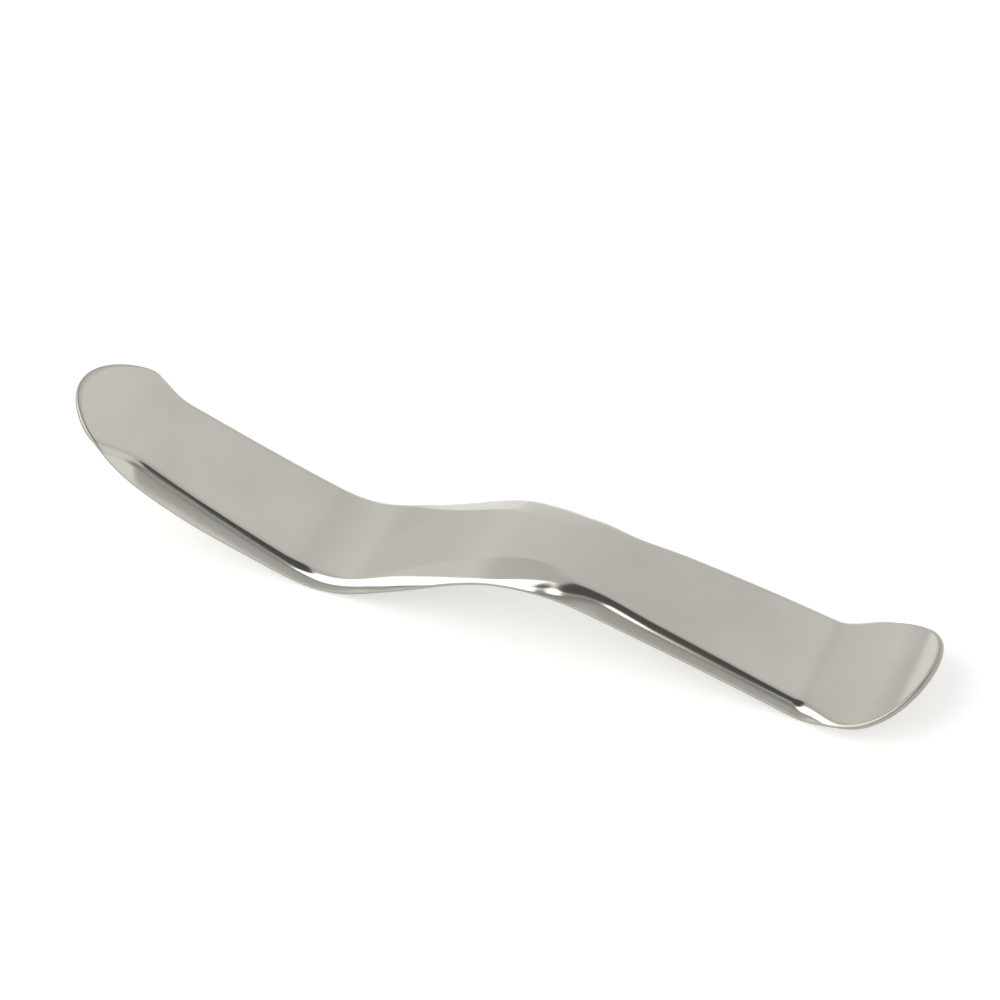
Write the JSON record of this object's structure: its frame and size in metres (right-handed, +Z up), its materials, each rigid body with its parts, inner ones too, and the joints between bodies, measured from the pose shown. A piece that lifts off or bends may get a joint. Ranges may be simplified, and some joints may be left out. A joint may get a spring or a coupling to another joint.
{
  "type": "handheld surgical retractor",
  "caption": "Polished one-piece sheet steel retractor: a strip with rounded ends, long edges rolled down into lips, bent into a shallow double wave.",
  "frame": {"origin": "middle of the base of the bounding box, on the surface that the retractor lies on", "axes": "+X along the retractor from the long blade end to the short toe end, +Z up, Y across"},
  "size_m": [0.1414, 0.0232, 0.0225],
  "materials": {
    "polished_steel": "stainless sheet, buffed bright all over"
  },
  "bodies": {
    "root": {"retractor": "polished_steel"}
  },
  "joints": []
}
